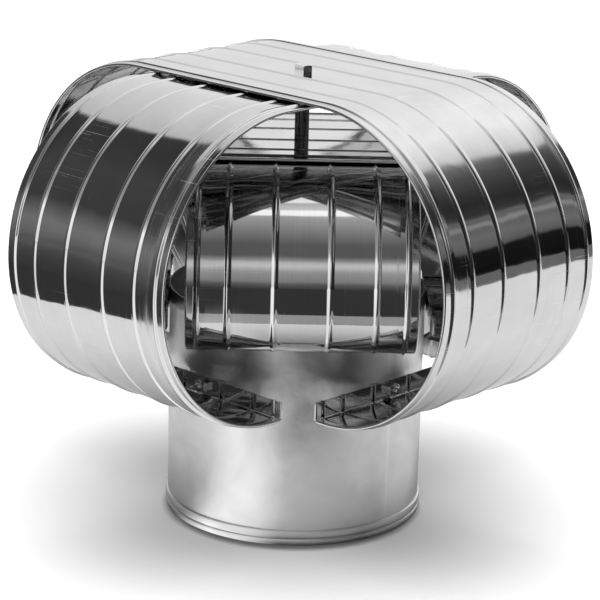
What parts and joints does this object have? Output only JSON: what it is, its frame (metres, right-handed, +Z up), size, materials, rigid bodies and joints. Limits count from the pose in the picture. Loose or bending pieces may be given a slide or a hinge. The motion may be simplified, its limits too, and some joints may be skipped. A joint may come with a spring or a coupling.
{
  "type": "chimney cap",
  "caption": "Stationary down-draught chimney cap: crossed curled strips of beaded stainless steel over a plain round flue collar.",
  "frame": {"origin": "centre of the collar's bottom rim, at the height the cap stands on", "axes": "+Z up along the flue; +X along the upper outer band, +Y along the lower outer band; the inner bands run at 45 degrees between them"},
  "size_m": [0.447, 0.447, 0.3536],
  "materials": {
    "collar_steel": "satin mill-finish stainless steel",
    "polished_steel": "mirror-polished stainless steel",
    "fastener_steel": "bright machined stainless steel",
    "tube_steel": "drawn stainless tube"
  },
  "bodies": {
    "root": {"flue_collar": "collar_steel", "outer_upper_band": "polished_steel", "outer_lower_band": "polished_steel", "inner_upper_band": "polished_steel", "inner_lower_band": "polished_steel", "centre_bolt": "fastener_steel", "outer_crossing_washer": "fastener_steel", "inner_crossing_washer": "fastener_steel", "centre_washer": "fastener_steel", "centre_lock_washer": "fastener_steel", "centre_nut": "fastener_steel", "centre_spacer": "tube_steel", "outer_upper_studs": "fastener_steel", "outer_upper_nuts": "fastener_steel", "outer_lower_studs": "fastener_steel", "outer_lower_nuts": "fastener_steel", "inner_upper_studs": "fastener_steel", "inner_upper_nuts": "fastener_steel", "inner_lower_studs": "fastener_steel", "inner_lower_nuts": "fastener_steel"}
  },
  "joints": []
}
